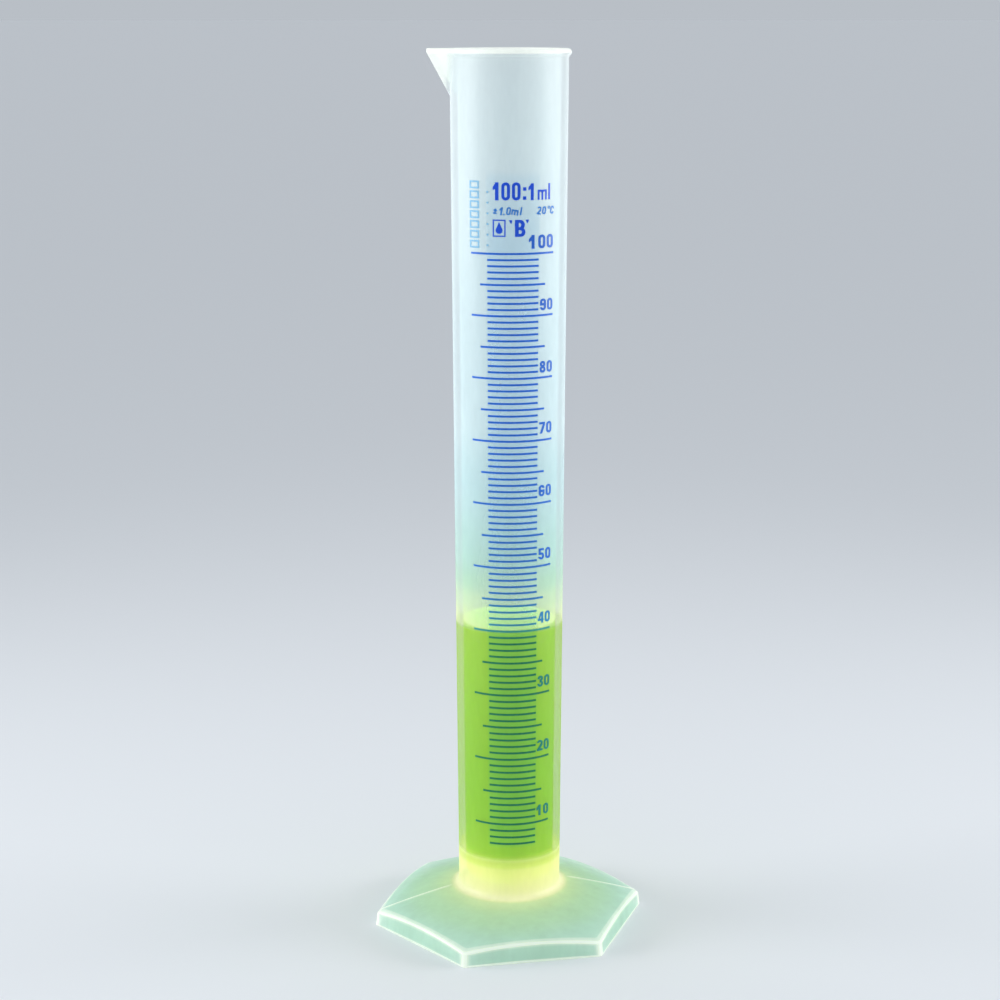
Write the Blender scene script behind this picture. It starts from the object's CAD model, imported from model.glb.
import math
import bmesh
import bpy
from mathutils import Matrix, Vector


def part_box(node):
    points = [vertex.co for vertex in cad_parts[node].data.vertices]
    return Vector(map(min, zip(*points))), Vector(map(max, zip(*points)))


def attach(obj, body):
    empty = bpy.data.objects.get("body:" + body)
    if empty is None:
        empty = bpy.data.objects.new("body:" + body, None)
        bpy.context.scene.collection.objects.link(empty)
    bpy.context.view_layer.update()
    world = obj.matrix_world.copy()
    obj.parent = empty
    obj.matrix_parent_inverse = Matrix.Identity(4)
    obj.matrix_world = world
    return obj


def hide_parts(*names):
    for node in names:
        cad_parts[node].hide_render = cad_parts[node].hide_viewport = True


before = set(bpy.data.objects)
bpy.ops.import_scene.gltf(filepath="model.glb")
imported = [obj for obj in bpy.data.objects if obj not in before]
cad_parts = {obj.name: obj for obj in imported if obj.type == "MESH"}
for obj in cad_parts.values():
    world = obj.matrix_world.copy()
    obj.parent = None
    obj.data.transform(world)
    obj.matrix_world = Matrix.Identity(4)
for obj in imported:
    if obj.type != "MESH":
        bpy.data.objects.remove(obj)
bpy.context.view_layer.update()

MM = 0.001

# ---- Sizes of the moulding, read from the frame where it has them ----------------------------

foot_low, body_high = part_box("moulded_cylinder")
liquid_low, liquid_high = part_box("liquid_fill")

overall_h = body_high.z
floor_z = liquid_low.z
fill_z = liquid_high.z
base_r = 14.6 * MM          # the tube's outside radius carried down to the table
taper = 0.0065              # growth of that radius with height
wall = 2.07 * MM
floor_t = 2.1 * MM
floor_corner_r = 3 * MM
ink_gap = 0.03 * MM         # the wall stays this far under the printed ink

bead_out = 0.7 * MM
bead_r = 1.05 * MM
bead_z = overall_h - bead_r
spout_reach = 22.4 * MM
spout_half_w = 6.1 * MM
spout_tip_r = 2.4 * MM
apex_z = overall_h - 12.6 * MM
below_spout_z = apex_z - 2 * MM     # the rings stand closer together from here up
crease_blend = 0.5 * MM     # softness of the valley where the spout leaves the tube

foot_r = 39.5 * MM
foot_corner_r = 1.5 * MM
foot_turn = math.radians(7.2)
foot_wall = 2.1 * MM
foot_edge_r = 1.0 * MM
root_r = 1.6 * MM
dome_h = 11 * MM
dome_r = 15.5 * MM
dome_slope = 0.2314
dome_curve = 2.046
seam_h = 0.22 * MM
seam_w = 0.34 * MM
hollow_r = 12.4 * MM
gate_r = 1.6 * MM
gate_h = 0.6 * MM
draft = 0.35 * MM           # lean of the foot's sides from bottom to top

SECTORS = 6
SEGMENTS = 300
sector = 2 * math.pi / SECTORS
foot_inner_r = foot_r - foot_corner_r / math.cos(sector / 2)    # centre of a corner's rounding
blank_foot_r = foot_inner_r + foot_corner_r                     # the foot before it is made a hexagon

spout_middle = math.pi                  # azimuth of the spout's middle
spout_span = math.radians(50)           # the spout lies within this angle of its middle
bead_fade = math.radians(9)             # the rim's bead dies away this near to the middle
outline_step = math.radians(0.3)        # step for the direction of the outline

# How white the plastic is, from 0 to 1, where it is thick or turns an edge
rim_white = 0.8
spout_white = 0.6
foot_top_white = 0.55
foot_bottom_white = 0.9
seam_white_w = 0.42 * MM
corner_white_w = 1.3 * MM


def tube_r(z):
    return base_r + taper * z


def bore_r(z):
    return tube_r(z) - wall


def root_start():
    """Radius where the foot's top begins, outside the rounding at the tube's root."""
    return tube_r(dome_h) + root_r * 1.3


def dome_z(r):
    return dome_h - dome_slope * (r - dome_r) - dome_curve * (r - dome_r) ** 2


def mix(a, b, t):
    return a + (b - a) * t


def smooth(t):
    t = min(max(t, 0.0), 1.0)
    return t * t * (3 - 2 * t)


def arc(cx, cz, r, start, end, steps):
    """Points of an arc in the (radius, height) plane, with angles in degrees."""
    angles = [math.radians(mix(start, end, i / steps)) for i in range(steps + 1)]
    return [(cx + r * math.cos(a), cz + r * math.sin(a)) for a in angles]


def levels(low, high, steps):
    return [mix(low, high, i / steps) for i in range(steps + 1)]


# ---- The blank: a round profile that is spun before the foot and the spout are formed -------

def bore_profile():
    corner_z = floor_z + floor_corner_r
    corner_x = bore_r(corner_z) - floor_corner_r
    points = [(0.0, floor_z), (corner_x * 0.5, floor_z)]
    points += arc(corner_x, corner_z, floor_corner_r, -90, 0, 8)
    points += [(bore_r(z), z) for z in levels(corner_z, below_spout_z, 16)[1:]]
    points += [(bore_r(z), z) for z in levels(below_spout_z, bead_z, 26)[1:]]
    return points


def rim_profile():
    inner = bore_r(bead_z) + bead_r
    outer = tube_r(bead_z) + bead_out - bead_r
    points = arc(inner, bead_z, bead_r, 180, 90, 6)[1:]
    points += arc(outer, bead_z, bead_r, 90, -62, 10)
    return points


def outside_profile():
    under_bead = bead_z - bead_r * 0.97
    points = [(tube_r(under_bead) - ink_gap, under_bead - 0.12 * MM)]
    points += [(tube_r(z) - ink_gap, z) for z in levels(under_bead, below_spout_z, 26)[1:]]
    root_z = dome_z(tube_r(dome_h) + root_r) + root_r
    points += [(tube_r(z) - ink_gap, z) for z in levels(below_spout_z, root_z, 16)[1:]]
    points += arc(tube_r(root_z) - ink_gap + root_r, root_z, root_r, 180, 256, 8)[1:]
    return points


def foot_profile():
    rim_r = blank_foot_r
    edge_z = dome_z(rim_r) - foot_edge_r
    top_r = rim_r - foot_edge_r - draft
    points = [(r, dome_z(r)) for r in levels(root_start(), top_r - 1 * MM, 14)]
    points += [(r, dome_z(r)) for r in (top_r - 0.5 * MM, top_r - 0.2 * MM)]
    points += arc(top_r, edge_z, foot_edge_r, 68, 0, 6)
    points += [(rim_r - draft * z / edge_z, z) for z in levels(edge_z - 0.4 * MM, 1 * MM, 5)]
    points += [(rim_r, z * MM) for z in (0.7, 0.45, 0.25)]
    points += [(rim_r - 0.08 * MM, 0.08 * MM), (rim_r - 0.25 * MM, 0.0)]
    under_r = rim_r - foot_wall / math.cos(sector / 2)
    under_z = dome_z(under_r) - foot_wall
    points += [(under_r + 0.2 * MM, 0.0), (under_r, 0.2 * MM)]
    points += [(under_r - 0.1 * MM, z) for z in levels(0.2 * MM, under_z - 0.5 * MM, 3)[1:]]
    points += [(under_r - 0.3 * MM, under_z - 0.12 * MM)]
    points += [(r, dome_z(r) - foot_wall) for r in levels(under_r - 0.8 * MM, hollow_r + 0.6 * MM, 8)]
    recess = floor_z - floor_t
    points += [(hollow_r + 0.1 * MM, dome_z(hollow_r) - foot_wall + 0.3 * MM)]
    points += [(hollow_r, recess - 0.4 * MM), (hollow_r - 0.4 * MM, recess)]
    points += [(gate_r + 0.3 * MM, recess), (gate_r, recess - gate_h * 0.8)]
    points += [(gate_r * 0.7, recess - gate_h), (0.0, recess - gate_h)]
    return points


def spun(profile):
    """A closed profile turned once round the Z axis, from one of the foot's corners."""
    bm = bmesh.new()
    turn = Vector((math.cos(foot_turn), math.sin(foot_turn), 0))
    verts = [bm.verts.new(turn * r + Vector((0, 0, z))) for r, z in profile]
    edges = [bm.edges.new(pair) for pair in zip(verts, verts[1:])]
    bmesh.ops.spin(bm, geom=verts + edges, cent=(0, 0, 0), axis=(0, 0, 1), angle=2 * math.pi,
                   steps=SEGMENTS, use_merge=True, use_duplicate=False)
    bmesh.ops.remove_doubles(bm, verts=bm.verts, dist=0.002 * MM)
    bmesh.ops.recalc_face_normals(bm, faces=bm.faces)
    return bm


# ---- Forming the spout ----------------------------------------------------------------------

def beak_distance(angle, share):
    """Distance from the axis to the spout's outside, angle away from its middle, share of the way up."""
    reach = mix(tube_r(apex_z), spout_reach, share)
    tip_r = spout_tip_r * share
    half_w = spout_half_w * share
    tip_x = reach - tip_r
    side_x = math.sqrt(tube_r(bead_z) ** 2 - half_w ** 2) - (1 - share) * taper * (bead_z - apex_z)
    run = max(tip_x - side_x, 0.01 * MM)
    length = math.hypot(run, half_w)
    lean = math.atan2(run, half_w) + math.asin(min(tip_r / length, 1.0))
    tangent = math.atan2(tip_r * math.sin(lean), tip_x + tip_r * math.cos(lean))
    if angle < tangent:
        return tip_x * math.cos(angle) + math.sqrt(max(tip_r ** 2 - (tip_x * math.sin(angle)) ** 2, 0))
    offset = side_x * math.cos(lean) + half_w * math.sin(lean)
    return offset / max(math.cos(angle - lean), 0.2)


def from_spout(azimuth):
    return abs(math.remainder(azimuth - spout_middle, 2 * math.pi))


def outline(azimuth, z):
    """The outer wall's point at an azimuth and height, with the spout pushed out."""
    r = tube_r(z)
    away = from_spout(azimuth)
    share = (min(z, bead_z) - apex_z) / (bead_z - apex_z)
    if share > 0 and away < spout_span:
        beak = beak_distance(away, share)
        blend = crease_blend * min(1.0, 0.2 + share)
        gap = max(blend - abs(beak - r), 0) / blend
        r = max(beak, r) + gap * gap * blend / 4
    return Vector((r * math.cos(azimuth), r * math.sin(azimuth), 0))


def form_spout(bm):
    edges = bm.verts.layers.float["white_edge"]
    for v in bm.verts:
        if v.co.z < apex_z:
            continue
        azimuth = math.atan2(v.co.y, v.co.x)
        out = v.co.xy.length - tube_r(v.co.z)
        if out > 0:
            out *= 1 - math.exp(-(from_spout(azimuth) / bead_fade) ** 2)
        wall_point = outline(azimuth, v.co.z)
        along = outline(azimuth + outline_step, v.co.z) - outline(azimuth - outline_step, v.co.z)
        normal = Vector((along.y, -along.x, 0)).normalized()
        place = wall_point + normal * out
        pushed = wall_point.length - tube_r(v.co.z)
        v[edges] = max(v[edges], spout_white * smooth(pushed / (1.5 * MM)))
        v.co.x = place.x
        v.co.y = place.y


# ---- Forming the foot -----------------------------------------------------------------------

def hexagon_r(azimuth):
    """Distance from the axis to a hexagon with round corners."""
    away = abs(math.remainder(azimuth - foot_turn, sector))
    touch = math.atan2(foot_corner_r * math.sin(sector / 2),
                       foot_inner_r + foot_corner_r * math.cos(sector / 2))
    if away < touch:
        half_chord = math.sqrt(foot_corner_r ** 2 - (foot_inner_r * math.sin(away)) ** 2)
        return foot_inner_r * math.cos(away) + half_chord
    return foot_r * math.cos(sector / 2) / math.cos(sector / 2 - away)


def mark_edges(bm):
    """Marks where the plastic is thick or turns an edge, which is where it glows white."""
    edges = bm.verts.layers.float.new("white_edge")
    edge_z = dome_z(blank_foot_r) - foot_edge_r
    arc_r = blank_foot_r - foot_edge_r - draft
    for v in bm.verts:
        r = v.co.xy.length
        if v.co.z < dome_h and r > tube_r(dome_h) + root_r:
            on_arc = abs(math.hypot(r - arc_r, v.co.z - edge_z) - foot_edge_r) < 0.15 * MM
            lean = math.degrees(math.atan2(v.co.z - edge_z, r - arc_r))
            if on_arc and lean > -5:
                v[edges] = math.exp(-((lean - 44) / 46) ** 4)
            elif r > arc_r - 0.6 * MM and v.co.z > dome_z(r) - 0.2 * MM:
                v[edges] = foot_top_white
            elif v.co.z < 0.5 * MM and r > blank_foot_r - 0.5 * foot_wall:
                v[edges] = foot_bottom_white
        if v.co.z > bead_z - 0.05 * bead_r:
            v[edges] = rim_white


def form_foot(bm):
    """Draws the round foot out to a hexagon, with a seam ridge along two opposite corners."""
    edges = bm.verts.layers.float["white_edge"]
    root = root_start()
    corner_r = hexagon_r(foot_turn)
    for v in bm.verts:
        r = v.co.xy.length
        if v.co.z > dome_h or r < root:
            continue
        # Points gather towards the corners, more so the further out they are
        azimuth = math.atan2(v.co.y, v.co.x)
        spread = smooth((r - root) / (0.8 * (corner_r - root)))
        place = ((azimuth - foot_turn) / sector) % 1.0
        gathered = (1 - math.cos(math.pi * place)) / 2
        azimuth += (gathered - place) * sector * spread
        # The radius shrinks to the hexagon's, and the height follows the dome
        share = min((r - root) / (corner_r - root), 1.0)
        formed = r * mix(1.0, hexagon_r(azimuth) / corner_r, share ** 1.3)
        lift = min(1.0, v.co.z / (dome_z(corner_r) - foot_edge_r))
        rise = (dome_z(formed) - dome_z(r)) * lift
        # Seams and corners, on the outside only
        underside = v.co.z < dome_z(r) - 0.6 * foot_wall and r < corner_r - 1.2 * draft - foot_edge_r
        at_seam = abs(math.remainder(azimuth - foot_turn, math.pi)) <= sector / 2
        if at_seam and not underside:
            off_seam = formed * abs(math.sin(azimuth - foot_turn))
            fade_in = smooth((r - root) / (2 * MM))
            side = smooth((r - corner_r + 2 * foot_edge_r) / foot_edge_r)
            ridge = seam_h * math.exp(-(off_seam / seam_w) ** 2) * fade_in
            v[edges] = max(v[edges], math.exp(-(off_seam / seam_white_w) ** 2) * fade_in)
        else:
            side = ridge = 0.0
        if not underside and r > corner_r - 0.6 * foot_edge_r - draft:
            off_corner = formed * abs(math.sin(math.remainder(azimuth - foot_turn, sector)))
            v[edges] = max(v[edges], math.exp(-(off_corner / corner_white_w) ** 4))
        formed += ridge * side
        rise += ridge * (1 - side)
        v.co = Vector((formed * math.cos(azimuth), formed * math.sin(azimuth), v.co.z + rise))


def finished(name, bm, material, slot, *nodes):
    mesh = bpy.data.meshes.new(name)
    for face in bm.faces:
        face.smooth = True
    bm.to_mesh(mesh)
    bm.free()
    piece = bpy.data.objects.new(name, mesh)
    bpy.context.scene.collection.objects.link(piece)
    mesh.materials.append(material)
    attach(piece, "root")
    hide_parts(*nodes)
    return piece


# ---- Materials --------------------------------------------------------------------------------

surface = fill_z / overall_h        # the liquid's surface as a share of the whole height
MIX_A, MIX_B, MIX_RESULT = 6, 7, 2  # a colour Mix node's two inputs and its output


def colour(code):
    """An sRGB hex colour as linear RGBA."""
    parts = [int(code[i:i + 2], 16) / 255 for i in (0, 2, 4)]
    return [p / 12.92 if p <= 0.04045 else ((p + 0.055) / 1.055) ** 2.4 for p in parts] + [1.0]


def add(tree, kind, links=(), inputs=None, stops=(), **settings):
    """A node with its settings, the values of its unlinked inputs, the stops of its ramp (a hex colour or
    a grey level at each position) and its links, given as (input, node, output)."""
    made = tree.nodes.new(kind)
    for name, value in settings.items():
        setattr(made, name, value)
    for name, value in (inputs or {}).items():
        made.inputs[name].default_value = value
    for target, source, output in links:
        tree.links.new(source.outputs[output], made.inputs[target])
    if stops:
        made.color_ramp.interpolation = "EASE"
        made.color_ramp.elements.remove(made.color_ramp.elements[1])
    for i, (position, value) in enumerate(stops):
        stop = made.color_ramp.elements[0] if i == 0 else made.color_ramp.elements.new(position)
        stop.position = position
        stop.color = colour(value) if isinstance(value, str) else (value, value, value, 1.0)
    return made


def new_material(name):
    material = bpy.data.materials.new(name)
    material.use_nodes = True
    material.node_tree.nodes.clear()
    return material, material.node_tree


def object_place(tree):
    """Texture Coordinate node, its X, Y and Z apart, and the height as a share of the whole height."""
    place = add(tree, "ShaderNodeTexCoord")
    parts = add(tree, "ShaderNodeSeparateXYZ", [("Vector", place, "Object")])
    height = add(tree, "ShaderNodeMath", [(0, parts, "Z")], {1: overall_h}, operation="DIVIDE")
    return place, parts, height


def moulding_colour(tree, parts, height, on_foot, reach):
    """The plastic's colour. The liquid lights the wall beside it: pale yellow under its floor, lime up to
    its surface, mint above. Behind the print the milky wall takes up some of the ink's blue."""
    tube_tint = add(tree, "ShaderNodeValToRGB", [("Fac", height, "Value")], stops=[
        (0.000, "f9f9d6"), (0.040, "fdf9de"), (0.060, "fcf6c4"), (0.078, "faf4b4"), (0.082, "eaee92"),
        (0.0885, "e4ea88"), (0.0905, "f2f4ac"), (0.0925, "c6dc5c"), (0.150, "c0da56"),
        (surface - 0.004, "c6dc60"), (surface + 0.001, "faf8ca"), (0.395, "e4f2d2"), (0.415, "d0ead6"),
        (0.440, "d4ece4"), (0.520, "e0f1f2"), (0.600, "f0f8f9"), (1.000, "fbfdfd")])
    foot_tint = add(tree, "ShaderNodeValToRGB", [("Fac", reach, "Value")], stops=[
        (0.40, "f2f9cc"), (0.46, "e2f5d0"), (0.62, "daf3d8"), (0.86, "d8f2e6"), (1.0, "def4ea")])
    tint = add(tree, "ShaderNodeMix", [
        (0, on_foot, "Value"), (MIX_A, tube_tint, "Color"), (MIX_B, foot_tint, "Color")], data_type="RGBA")
    front = add(tree, "ShaderNodeMath", [(0, parts, "Y")], {1: -1.0}, operation="MULTIPLY")
    angle = add(tree, "ShaderNodeMath", [(0, parts, "X"), (1, front, "Value")], operation="ARCTAN2")
    turn = add(tree, "ShaderNodeMath", [(0, angle, "Value")], operation="ABSOLUTE")
    beside = add(tree, "ShaderNodeMapRange", [("Value", turn, "Value")], {
        "From Min": math.radians(25), "From Max": math.radians(29), "To Min": 0.55, "To Max": 0.0},
        interpolation_type="SMOOTHSTEP")
    print_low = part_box("lines_1ml")[0].z
    lines_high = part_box("lines_10ml")[1].z
    print_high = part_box("capacity_legend")[1].z
    band = add(tree, "ShaderNodeValToRGB", [("Fac", height, "Value")], stops=[
        ((print_low - 1 * MM) / overall_h, 0.0), (print_low / overall_h, 1.0), (surface, 1.0),
        (lines_high / overall_h, 1.0), (print_high / overall_h, 0.6),
        ((print_high + 4 * MM) / overall_h, 0.0)])
    bleed = add(tree, "ShaderNodeMath", [(0, beside, "Result"), (1, band, "Color")], operation="MULTIPLY")
    bleed_tint = add(tree, "ShaderNodeValToRGB", [("Fac", height, "Value")], stops=[
        (surface - 0.004, "98d878"), (surface + 0.03, "bce6ee"), (0.5, "b4def6"), (1.0, "b4def6")])
    return add(tree, "ShaderNodeMix", [
        (0, bleed, "Value"), (MIX_A, tint, MIX_RESULT), (MIX_B, bleed_tint, "Color")], data_type="RGBA")


def moulding_opacity(tree, place, height, edge):
    """Thin and hazy face on, closing towards the edges, and denser beside the liquid, in the thick floor
    and in the foot. Flow marks: soft clouds about 10 mm across, drawn out along the tube."""
    facing = add(tree, "ShaderNodeLayerWeight", inputs={"Blend": 0.35})
    haze = add(tree, "ShaderNodeValToRGB", [("Fac", facing, "Facing")], stops=[
        (0.0, 0.30), (0.45, 0.40), (0.8, 0.76), (1.0, 0.96)])
    dense_low = add(tree, "ShaderNodeValToRGB", [("Fac", height, "Value")], stops=[
        (0.0, 0.80), (0.0905, 0.80), (0.0935, 0.55), (surface - 0.003, 0.55), (surface + 0.003, 0.0)])
    dense = add(tree, "ShaderNodeMath", [(0, dense_low, "Color"), (1, edge, "Fac")], operation="MAXIMUM")
    haze_all = add(tree, "ShaderNodeMath", [(0, haze, "Color"), (1, dense, "Value")], operation="MAXIMUM")
    drawn = add(tree, "ShaderNodeMapping", [("Vector", place, "Object")], {"Scale": (1, 1, 0.3)})
    cloud = add(tree, "ShaderNodeTexNoise", [("Vector", drawn, "Vector")], {
        "Scale": 100.0, "Detail": 4.0, "Roughness": 0.55})
    cloudy = add(tree, "ShaderNodeMapRange", [("Value", cloud, "Fac")], {
        "From Min": 0.3, "From Max": 0.7, "To Min": 0.86, "To Max": 1.12})
    return add(tree, "ShaderNodeMath", [(0, haze_all, "Value"), (1, cloudy, "Result")],
               operation="MULTIPLY", use_clamp=True)


def moulding_glow(tree, height, on_foot, edge):
    """Light led along inside the plastic, which comes out of the thick floor, the foot's edges and the rim.
    It stands in for scattering inside the wall, which this surface material doesn't work out."""
    led = add(tree, "ShaderNodeValToRGB", [("Fac", height, "Value")], stops=[
        (0.0, "6a6854"), (0.040, "9c9478"), (0.075, "908a5c"), (0.0905, "6c6a3a"), (0.0925, "000000")])
    led_foot = add(tree, "ShaderNodeMix", [(0, on_foot, "Value"), (MIX_A, led, "Color")],
                   {MIX_B: colour("3c423c")}, data_type="RGBA")
    return add(tree, "ShaderNodeMix", [(0, edge, "Fac"), (MIX_A, led_foot, MIX_RESULT)],
               {MIX_B: colour("acaca6")}, data_type="RGBA")


def polypropylene():
    """Natural polypropylene, injection moulded: milky and clear at once, so thin walls show what is
    behind them in a haze, while edges and thick places turn white."""
    material, tree = new_material("milky_moulded_polypropylene")
    place, parts, height = object_place(tree)
    edge = add(tree, "ShaderNodeAttribute", attribute_name="white_edge")
    flat = add(tree, "ShaderNodeVectorMath", [(0, place, "Object")], {1: (1, 1, 0)}, operation="MULTIPLY")
    radius = add(tree, "ShaderNodeVectorMath", [(0, flat, "Vector")], operation="LENGTH")
    reach = add(tree, "ShaderNodeMath", [(0, radius, "Value")], {1: foot_r}, operation="DIVIDE")
    beyond = add(tree, "ShaderNodeMapRange", [("Value", reach, "Value")], {
        "From Min": 0.395, "From Max": 0.43, "To Min": 0.0, "To Max": 1.0})
    below = add(tree, "ShaderNodeMapRange", [("Value", height, "Value")], {
        "From Min": 0.044, "From Max": 0.050, "To Min": 1.0, "To Max": 0.0})
    on_foot = add(tree, "ShaderNodeMath", [(0, beyond, "Result"), (1, below, "Result")], operation="MULTIPLY")
    printed = moulding_colour(tree, parts, height, on_foot, reach)
    body = add(tree, "ShaderNodeMix", [(0, edge, "Fac"), (MIX_A, printed, MIX_RESULT)],
               {MIX_B: colour("fdfdf4")}, data_type="RGBA")
    opacity = moulding_opacity(tree, place, height, edge)
    led = moulding_glow(tree, height, on_foot, edge)
    # Moulded skin: a faint orange peel, about 2 mm from crest to crest
    peel = add(tree, "ShaderNodeTexNoise", [("Vector", place, "Object")], {"Scale": 500.0, "Detail": 2.0})
    bump = add(tree, "ShaderNodeBump", [("Height", peel, "Fac")], {"Strength": 0.12, "Distance": 0.1 * MM})
    skin = add(tree, "ShaderNodeBsdfPrincipled", [
        ("Base Color", body, MIX_RESULT), ("Normal", bump, "Normal"), ("Emission Color", led, MIX_RESULT)],
        {"Roughness": 0.3, "IOR": 1.49, "Emission Strength": 1.0})
    glow = add(tree, "ShaderNodeBsdfTranslucent", [
        ("Color", body, MIX_RESULT), ("Normal", bump, "Normal")])
    milk = add(tree, "ShaderNodeMixShader", [(1, skin, 0), (2, glow, 0)], {0: 0.5})
    clear = add(tree, "ShaderNodeBsdfTransparent", inputs={"Color": colour("f8fdfd")})
    wall_mix = add(tree, "ShaderNodeMixShader", [(0, opacity, "Value"), (1, clear, 0), (2, milk, 0)])
    add(tree, "ShaderNodeOutputMaterial", [("Surface", wall_mix, 0)])
    return material


def green_liquid():
    """Water with a fluorescent yellow-green dye: it glows faintly in daylight, deeper in colour with the
    depth looked through, and paler at its surface."""
    material, tree = new_material("fluorescent_dyed_water")
    height = object_place(tree)[2]
    shade = add(tree, "ShaderNodeValToRGB", [("Fac", height, "Value")], stops=[
        (floor_z / overall_h, "dcf080"), (0.10, "b0e478"), (0.20, "a6e078"), (surface - 0.004, "b4e27c"),
        (surface - 0.001, "fafbd0")])
    water = add(tree, "ShaderNodeBsdfPrincipled", [
        ("Base Color", shade, "Color"), ("Emission Color", shade, "Color")],
        {"Roughness": 0.02, "IOR": 1.333, "Transmission Weight": 0.5, "Emission Strength": 0.31})
    dye = add(tree, "ShaderNodeVolumeAbsorption", inputs={
        "Color": (0.66, 0.955, 0.05, 1.0), "Density": 30.0})
    add(tree, "ShaderNodeOutputMaterial", [("Surface", water, 0), ("Volume", dye, 0)])
    return material


def printing_ink(name, stops, cover):
    """Screen-printed ink: a thin coat that lets some of what is behind it through, a little uneven
    from the mesh. Stops give its colour with height."""
    material, tree = new_material(name)
    place, parts, height = object_place(tree)
    pigment = add(tree, "ShaderNodeValToRGB", [("Fac", height, "Value")], stops=stops)
    grain = add(tree, "ShaderNodeTexNoise", [("Vector", place, "Object")], {"Scale": 1400.0, "Detail": 3.0})
    uneven = add(tree, "ShaderNodeMapRange", [("Value", grain, "Fac")], {
        "From Min": 0.3, "From Max": 0.7, "To Min": cover - 0.08, "To Max": cover + 0.08})
    coat = add(tree, "ShaderNodeBsdfPrincipled", [("Base Color", pigment, "Color")],
               {"Roughness": 0.4, "IOR": 1.5})
    passed = add(tree, "ShaderNodeBsdfTransparent", [("Color", pigment, "Color")])
    ink = add(tree, "ShaderNodeMixShader", [(0, uneven, "Result"), (1, passed, 0), (2, coat, 0)])
    add(tree, "ShaderNodeOutputMaterial", [("Surface", ink, 0)])
    return material


def studio_floor():
    """Matt paper, rolled out."""
    material, tree = new_material("pale_studio_floor")
    paper = add(tree, "ShaderNodeBsdfPrincipled", inputs={
        "Roughness": 0.75, "Base Color": colour("e6e9ec")})
    add(tree, "ShaderNodeOutputMaterial", [("Surface", paper, 0)])
    return material


# ---- Pieces -----------------------------------------------------------------------------------

def make_moulding(material):
    profile = bore_profile() + rim_profile() + outside_profile() + foot_profile()
    bm = spun(profile)
    mark_edges(bm)
    form_spout(bm)
    form_foot(bm)
    return finished("cylinder_moulding", bm, material, "translucent_polypropylene", "moulded_cylinder")


def make_liquid(material):
    gap = 0.04 * MM         # left between the liquid and the wall
    creep = 0.35 * MM       # how far the surface climbs the wall
    creep_w = 0.8 * MM      # how far from the wall the climb dies away
    corner_z = floor_z + floor_corner_r
    corner_x = bore_r(corner_z) - gap - floor_corner_r
    edge_z = fill_z - creep * 0.1
    edge_x = bore_r(edge_z) - gap
    profile = [(0.0, floor_z + gap), (corner_x * 0.5, floor_z + gap)]
    profile += arc(corner_x, corner_z + gap, floor_corner_r, -90, 0, 8)
    profile += [(bore_r(z) - gap, z) for z in levels(corner_z + gap, edge_z, 12)[1:]]
    for inward in (0.15 * MM, 0.4 * MM, 0.8 * MM, 1.5 * MM, 2.6 * MM, 4.5 * MM):
        profile.append((edge_x - inward, edge_z - creep * (1 - math.exp(-inward / creep_w))))
    profile.append((0.0, edge_z - creep))
    return finished("green_liquid", spun(profile), material, "green_liquid", "liquid_fill")


def paint_nodes(material, *names):
    for name in names:
        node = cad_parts[name]
        node.data.materials.clear()
        node.data.materials.append(material)


# ---- Studio -----------------------------------------------------------------------------------

def make_floor(material):
    bm = bmesh.new()
    bmesh.ops.create_circle(bm, cap_ends=True, segments=96, radius=80.0)
    bmesh.ops.translate(bm, verts=bm.verts, vec=(0, 0, -0.02 * MM))
    mesh = bpy.data.meshes.new("studio_floor")
    bm.to_mesh(mesh)
    bm.free()
    mesh.materials.append(material)
    floor = bpy.data.objects.new("studio_floor", mesh)
    bpy.context.scene.collection.objects.link(floor)


def make_light(name, place, target, size, power, spread):
    """A soft box facing its target, with its spread in degrees."""
    lamp = bpy.data.lights.new(name, "AREA")
    lamp.shape = "RECTANGLE"
    lamp.size = size[0]
    lamp.size_y = size[1]
    lamp.energy = power
    lamp.spread = math.radians(spread)
    light = bpy.data.objects.new(name, lamp)
    light.location = place
    light.rotation_euler = (Vector(target) - Vector(place)).to_track_quat("-Z", "Y").to_euler()
    light.visible_camera = False
    bpy.context.scene.collection.objects.link(light)


def make_world():
    """A white room, a little darker towards the horizon so that the floor runs into it."""
    world = bpy.data.worlds.new("studio")
    world.use_nodes = True
    tree = world.node_tree
    tree.nodes.clear()
    place = add(tree, "ShaderNodeTexCoord")
    parts = add(tree, "ShaderNodeSeparateXYZ", [("Vector", place, "Generated")])
    room = add(tree, "ShaderNodeValToRGB", [("Fac", parts, "Z")], stops=[
        (0.0, "b9bfc6"), (0.04, "b9bfc6"), (0.7, "d1d5da")])
    back = add(tree, "ShaderNodeBackground", [("Color", room, "Color")])
    add(tree, "ShaderNodeOutputWorld", [("Surface", back, 0)])
    bpy.context.scene.world = world


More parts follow.
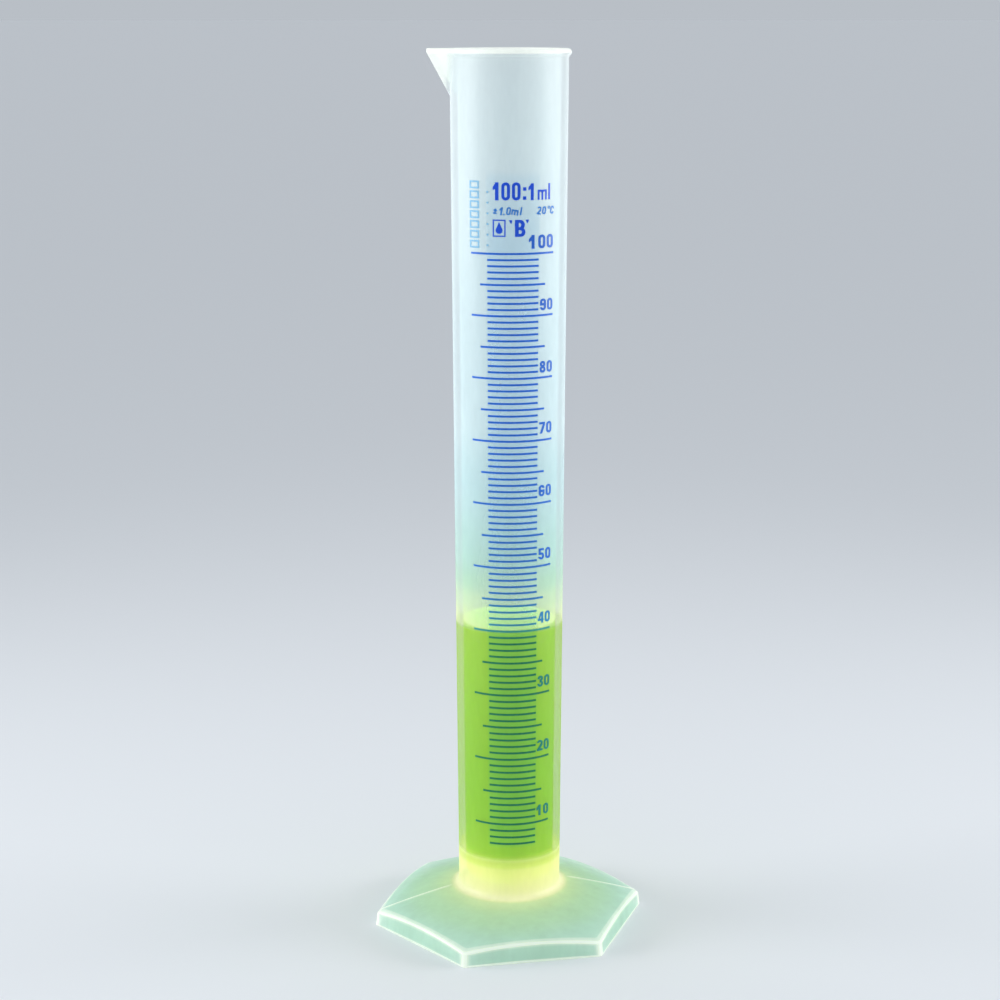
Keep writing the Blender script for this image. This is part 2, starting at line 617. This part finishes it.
def make_studio():
    make_floor(studio_floor())
    make_world()
    middle = (0, 0, overall_h / 2)
    side_x = 0.75
    side_z = 0.22
    side_size = (0.5, 0.28)
    side_spread = 80
    make_light("left_box", (-side_x, 0.0, side_z), middle, side_size, 0.88, side_spread)
    make_light("right_box", (side_x, 0.0, side_z), middle, side_size, 0.78, side_spread)
    make_light("top_box", (0.0, 0.1, 1.1), middle, (0.8, 0.8), 0.85, 180)


def make_camera():
    azimuth = math.radians(-94)     # seen from a little to the spout's side of the scale
    distance = 0.6062
    height = 0.2594
    down = math.radians(12.497)
    lens = bpy.data.cameras.new("camera")
    lens.sensor_width = 36.0
    lens.lens = 79.18
    lens.shift_x = -0.00924
    camera = bpy.data.objects.new("camera", lens)
    camera.location = (distance * math.cos(azimuth), distance * math.sin(azimuth), height)
    camera.rotation_euler = (math.pi / 2 - down, 0, azimuth + math.pi / 2)
    bpy.context.scene.collection.objects.link(camera)
    bpy.context.scene.camera = camera


def paint_print():
    """Inks, each greener over the liquid and bluer above it."""
    lettering = printing_ink("blue_lettering_ink", [
        (surface - 0.004, "0a7a6c"), (surface + 0.004, "0f74b4"), (0.42, "0c5cd8"), (1.0, "0050e6")], 0.9)
    fine_lines = printing_ink("blue_line_ink", [
        (surface - 0.010, "1a7e5c"), (surface - 0.002, "3a9c8c"), (surface + 0.004, "3c9cc0"),
        (0.42, "2c7ad6"), (0.6, "2272e2"), (1.0, "2272e4")], 0.82)
    numeral_ink = printing_ink("blue_numeral_ink", [
        (surface - 0.004, "0c8478"), (surface + 0.004, "1c8cc4"), (0.42, "1e70d8"), (1.0, "1864d4")], 0.88)
    small_lettering = printing_ink("light_blue_lettering_ink", [(0.0, "3c8ce0"), (1.0, "3c8ce0")], 0.8)
    pale_lettering = printing_ink("pale_blue_ink", [
        (0.0, "9ad4f0"), (0.86, "9ad4f0"), (0.93, "6cb8ea")], 0.7)
    paint_nodes(fine_lines, "lines_10ml", "lines_5ml", "lines_1ml")
    paint_nodes(lettering, "capacity_legend", "class_letter", "drop_mark")
    paint_nodes(numeral_ink, *[f"numeral_{v}" for v in range(10, 101, 10)])
    paint_nodes(small_lettering, "tolerance_legend")
    paint_nodes(pale_lettering, "maker_panel")


bpy.context.scene.view_settings.view_transform = "Standard"
make_camera()
make_studio()
make_moulding(polypropylene())
make_liquid(green_liquid())
paint_print()
